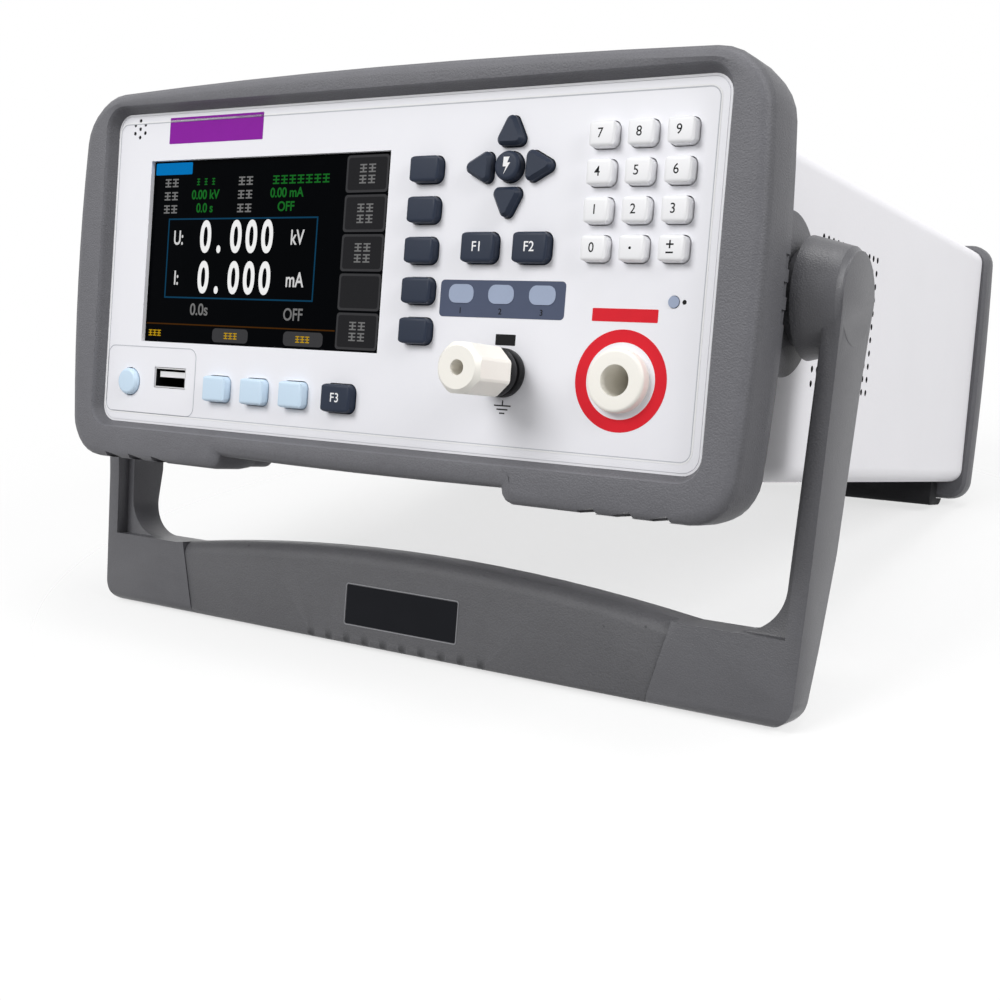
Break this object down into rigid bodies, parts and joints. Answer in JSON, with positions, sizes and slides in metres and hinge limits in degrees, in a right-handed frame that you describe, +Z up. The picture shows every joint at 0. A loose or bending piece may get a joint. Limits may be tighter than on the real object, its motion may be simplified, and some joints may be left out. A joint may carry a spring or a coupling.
{
  "type": "hipot tester",
  "caption": "Half-rack bench hipot tester with display, keypad, high-voltage socket and binding post, in rubber bumpers, tipped back on its swing handle.",
  "frame": {"origin": "middle of the footprint, on the floor under the handle's crossbar and the rear feet", "axes": "+X to the right as seen from the front, +Y away from the viewer towards the rear, +Z up"},
  "size_m": [0.2598, 0.2715, 0.17],
  "materials": {
    "white_key": "moulded, fine satin",
    "navy_key": "silicone-smooth satin",
    "pale_key": "translucent satin",
    "case_paint": "light grey fine-texture powder coat",
    "rear_paint": "light grey powder coat",
    "sheet_steel": "zinc-plated sheet",
    "bumper": "fine spark-eroded texture",
    "foot_rubber": "matt",
    "panel": "fine satin",
    "overlay": "printed film, fine satin",
    "window": "clear hard coat",
    "display": "liquid crystal glass",
    "silicone": "translucent",
    "board": "solder resist",
    "lens": "diffusing",
    "plating": "nickel plate",
    "black_plastic": "fine texture",
    "insulator": "ivory, fine satin",
    "brass": "turned",
    "handle": "fine texture",
    "grip": "soft overmould",
    "core": "varnished laminations"
  },
  "bodies": {
    "tester": {"case_sleeve": "case_paint", "chassis_tray": "sheet_steel", "rear_panel": "rear_paint", "rear_bumper": "bumper", "rear_feet": "foot_rubber", "front_bumper": "bumper", "front_panel": "panel", "panel_overlay": "overlay", "display_window": "window", "lcd_module": "display", "keypad_mat": "silicone", "keypad_board": "board", "indicator_lenses": "lens", "usb_port": "plating", "sounder": "black_plastic", "hv_socket": "insulator", "hv_contact": "brass", "low_collar": "black_plastic", "low_stud": "brass", "pivot_hubs": "bumper", "main_board": "board", "hv_transformer": "core", "fan_frame": "black_plastic", "power_inlet": "black_plastic", "interface_port": "plating", "screws": "plating"},
    "handle": {"handle_frame": "handle", "handle_grip": "grip"},
    "low_thread": {"low_insert": "brass"},
    "low_knob": {"low_cap": "insulator"},
    "fan": {"fan_rotor": "black_plastic"},
    "key_7": {"key_7": "white_key"},
    "key_8": {"key_8": "white_key"},
    "key_9": {"key_9": "white_key"},
    "key_4": {"key_4": "white_key"},
    "key_5": {"key_5": "white_key"},
    "key_6": {"key_6": "white_key"},
    "key_1": {"key_1": "white_key"},
    "key_2": {"key_2": "white_key"},
    "key_3": {"key_3": "white_key"},
    "key_0": {"key_0": "white_key"},
    "key_point": {"key_point": "white_key"},
    "key_sign": {"key_sign": "white_key"},
    "soft_key_1": {"soft_key_1": "navy_key"},
    "soft_key_2": {"soft_key_2": "navy_key"},
    "soft_key_3": {"soft_key_3": "navy_key"},
    "soft_key_4": {"soft_key_4": "navy_key"},
    "soft_key_5": {"soft_key_5": "navy_key"},
    "pale_key_1": {"pale_key_1": "pale_key"},
    "pale_key_2": {"pale_key_2": "pale_key"},
    "pale_key_3": {"pale_key_3": "pale_key"},
    "arrow_up": {"arrow_up": "navy_key"},
    "arrow_left": {"arrow_left": "navy_key"},
    "arrow_down": {"arrow_down": "navy_key"},
    "arrow_right": {"arrow_right": "navy_key"},
    "function_key_1": {"function_key_1": "navy_key"},
    "function_key_2": {"function_key_2": "navy_key"},
    "centre_key": {"centre_key": "navy_key"},
    "system_key": {"system_key": "navy_key"},
    "power_button": {"power_button": "pale_key"}
  },
  "joints": [
    {"name": "handle_swing", "type": "hinge", "parent": "tester", "child": "handle", "pos_m": [0, -0.0757, 0.10569], "axis": [-1, 0, 0], "range_deg": [0, 225]},
    {"name": "low_knob_rise", "type": "slide", "parent": "tester", "child": "low_thread", "axis": [0, -0.9688, 0.2479], "range_m": [0, 0.003]},
    {"name": "low_knob_turn", "type": "hinge", "parent": "low_thread", "child": "low_knob", "pos_m": [0.047, -0.11968, 0.09155], "axis": [0, -0.9688, 0.2479], "range_deg": [0, 1080.01]},
    {"name": "fan_spin", "type": "hinge", "parent": "tester", "child": "fan", "pos_m": [-0.058, 0.10539, 0.05502], "axis": [0, 0.9688, -0.2479], "continuous": true},
    {"name": "key_7_press", "type": "slide", "parent": "tester", "child": "key_7", "axis": [0, 0.9688, -0.2479], "range_m": [0, 0.0012], "stiffness_N_per_m": 800},
    {"name": "key_8_press", "type": "slide", "parent": "tester", "child": "key_8", "axis": [0, 0.9688, -0.2479], "range_m": [0, 0.0012], "stiffness_N_per_m": 800},
    {"name": "key_9_press", "type": "slide", "parent": "tester", "child": "key_9", "axis": [0, 0.9688, -0.2479], "range_m": [0, 0.0012], "stiffness_N_per_m": 800},
    {"name": "key_4_press", "type": "slide", "parent": "tester", "child": "key_4", "axis": [0, 0.9688, -0.2479], "range_m": [0, 0.0012], "stiffness_N_per_m": 800},
    {"name": "key_5_press", "type": "slide", "parent": "tester", "child": "key_5", "axis": [0, 0.9688, -0.2479], "range_m": [0, 0.0012], "stiffness_N_per_m": 800},
    {"name": "key_6_press", "type": "slide", "parent": "tester", "child": "key_6", "axis": [0, 0.9688, -0.2479], "range_m": [0, 0.0012], "stiffness_N_per_m": 800},
    {"name": "key_1_press", "type": "slide", "parent": "tester", "child": "key_1", "axis": [0, 0.9688, -0.2479], "range_m": [0, 0.0012], "stiffness_N_per_m": 800},
    {"name": "key_2_press", "type": "slide", "parent": "tester", "child": "key_2", "axis": [0, 0.9688, -0.2479], "range_m": [0, 0.0012], "stiffness_N_per_m": 800},
    {"name": "key_3_press", "type": "slide", "parent": "tester", "child": "key_3", "axis": [0, 0.9688, -0.2479], "range_m": [0, 0.0012], "stiffness_N_per_m": 800},
    {"name": "key_0_press", "type": "slide", "parent": "tester", "child": "key_0", "axis": [0, 0.9688, -0.2479], "range_m": [0, 0.0012], "stiffness_N_per_m": 800},
    {"name": "key_point_press", "type": "slide", "parent": "tester", "child": "key_point", "axis": [0, 0.9688, -0.2479], "range_m": [0, 0.0012], "stiffness_N_per_m": 800},
    {"name": "key_sign_press", "type": "slide", "parent": "tester", "child": "key_sign", "axis": [0, 0.9688, -0.2479], "range_m": [0, 0.0012], "stiffness_N_per_m": 800},
    {"name": "soft_key_1_press", "type": "slide", "parent": "tester", "child": "soft_key_1", "axis": [0, 0.9688, -0.2479], "range_m": [0, 0.0012], "stiffness_N_per_m": 800},
    {"name": "soft_key_2_press", "type": "slide", "parent": "tester", "child": "soft_key_2", "axis": [0, 0.9688, -0.2479], "range_m": [0, 0.0012], "stiffness_N_per_m": 800},
    {"name": "soft_key_3_press", "type": "slide", "parent": "tester", "child": "soft_key_3", "axis": [0, 0.9688, -0.2479], "range_m": [0, 0.0012], "stiffness_N_per_m": 800},
    {"name": "soft_key_4_press", "type": "slide", "parent": "tester", "child": "soft_key_4", "axis": [0, 0.9688, -0.2479], "range_m": [0, 0.0012], "stiffness_N_per_m": 800},
    {"name": "soft_key_5_press", "type": "slide", "parent": "tester", "child": "soft_key_5", "axis": [0, 0.9688, -0.2479], "range_m": [0, 0.0012], "stiffness_N_per_m": 800},
    {"name": "pale_key_1_press", "type": "slide", "parent": "tester", "child": "pale_key_1", "axis": [0, 0.9688, -0.2479], "range_m": [0, 0.0012], "stiffness_N_per_m": 800},
    {"name": "pale_key_2_press", "type": "slide", "parent": "tester", "child": "pale_key_2", "axis": [0, 0.9688, -0.2479], "range_m": [0, 0.0012], "stiffness_N_per_m": 800},
    {"name": "pale_key_3_press", "type": "slide", "parent": "tester", "child": "pale_key_3", "axis": [0, 0.9688, -0.2479], "range_m": [0, 0.0012], "stiffness_N_per_m": 800},
    {"name": "arrow_up_press", "type": "slide", "parent": "tester", "child": "arrow_up", "axis": [0, 0.9688, -0.2479], "range_m": [0, 0.0012], "stiffness_N_per_m": 800},
    {"name": "arrow_left_press", "type": "slide", "parent": "tester", "child": "arrow_left", "axis": [0, 0.9688, -0.2479], "range_m": [0, 0.0012], "stiffness_N_per_m": 800},
    {"name": "arrow_down_press", "type": "slide", "parent": "tester", "child": "arrow_down", "axis": [0, 0.9688, -0.2479], "range_m": [0, 0.0012], "stiffness_N_per_m": 800},
    {"name": "arrow_right_press", "type": "slide", "parent": "tester", "child": "arrow_right", "axis": [0, 0.9688, -0.2479], "range_m": [0, 0.0012], "stiffness_N_per_m": 800},
    {"name": "function_key_1_press", "type": "slide", "parent": "tester", "child": "function_key_1", "axis": [0, 0.9688, -0.2479], "range_m": [0, 0.0012], "stiffness_N_per_m": 800},
    {"name": "function_key_2_press", "type": "slide", "parent": "tester", "child": "function_key_2", "axis": [0, 0.9688, -0.2479], "range_m": [0, 0.0012], "stiffness_N_per_m": 800},
    {"name": "centre_key_press", "type": "slide", "parent": "tester", "child": "centre_key", "axis": [0, 0.9688, -0.2479], "range_m": [0, 0.0012], "stiffness_N_per_m": 800},
    {"name": "system_key_press", "type": "slide", "parent": "tester", "child": "system_key", "axis": [0, 0.9688, -0.2479], "range_m": [0, 0.0012], "stiffness_N_per_m": 800},
    {"name": "power_button_press", "type": "slide", "parent": "tester", "child": "power_button", "axis": [0, 0.9688, -0.2479], "range_m": [0, 0.0012], "stiffness_N_per_m": 800}
  ],
  "couplings": [
    {"joint": "low_knob_turn", "follows": "low_knob_rise", "rad_per_m": 6283.2}
  ]
}
